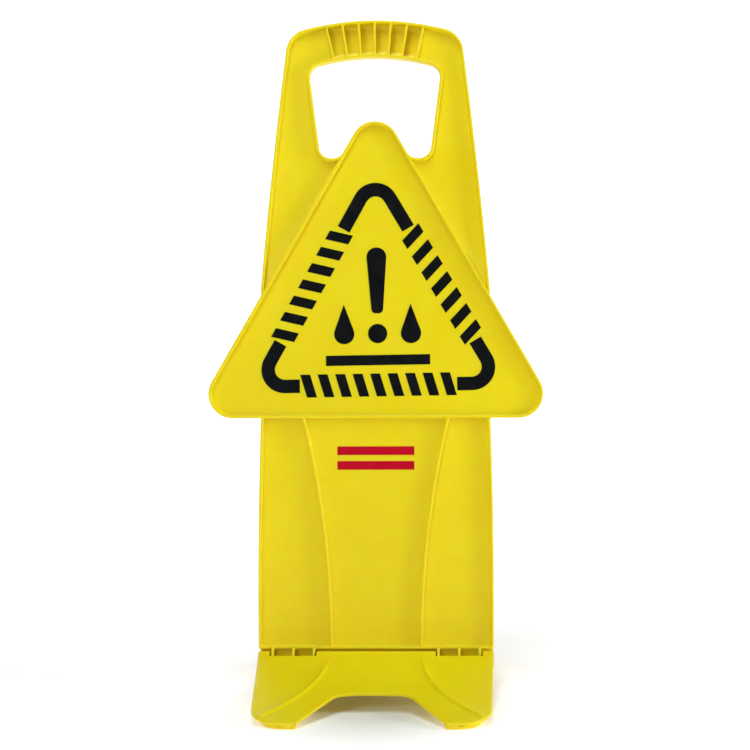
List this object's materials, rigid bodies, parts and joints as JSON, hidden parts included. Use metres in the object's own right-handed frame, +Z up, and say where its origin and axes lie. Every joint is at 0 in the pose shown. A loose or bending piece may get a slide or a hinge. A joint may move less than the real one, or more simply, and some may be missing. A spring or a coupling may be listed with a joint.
{
  "type": "wet floor sign",
  "caption": "Free-standing two-sided caution floor sign: tall ribbed panel with triangle head, hand opening and folding feet.",
  "frame": {"origin": "on the floor, at the centre of the footprint, midway between the two hinge lines", "axes": "+Z up along the panel, +X across the panel's width to the right seen from the front, the front face looks along -Y"},
  "size_m": [0.3302, 0.3366, 0.6604],
  "materials": {
    "yellow_plastic": "moulded polypropylene, satin",
    "pin_steel": "bright drawn wire",
    "black_ink": "screen-printed film, semi-matt",
    "red_ink": "screen-printed film, semi-matt"
  },
  "bodies": {
    "panel": {"sign_panel": "yellow_plastic", "front_border_print": "black_ink", "front_symbol_print": "black_ink", "front_stripe_print": "red_ink", "rear_border_print": "black_ink", "rear_symbol_print": "black_ink", "rear_stripe_print": "red_ink"},
    "front_foot_body": {"front_foot": "yellow_plastic", "front_left_hinge_pin": "pin_steel", "front_right_hinge_pin": "pin_steel"},
    "rear_foot_body": {"rear_foot": "yellow_plastic", "rear_left_hinge_pin": "pin_steel", "rear_right_hinge_pin": "pin_steel"}
  },
  "joints": [
    {"name": "front_foot_fold", "type": "hinge", "parent": "panel", "child": "front_foot_body", "pos_m": [0, -0.0095, 0.0312], "axis": [1, 0, 0], "range_deg": [0, 78]},
    {"name": "rear_foot_fold", "type": "hinge", "parent": "panel", "child": "rear_foot_body", "pos_m": [0, 0.0095, 0.0312], "axis": [-1, 0, 0], "range_deg": [0, 78]}
  ]
}
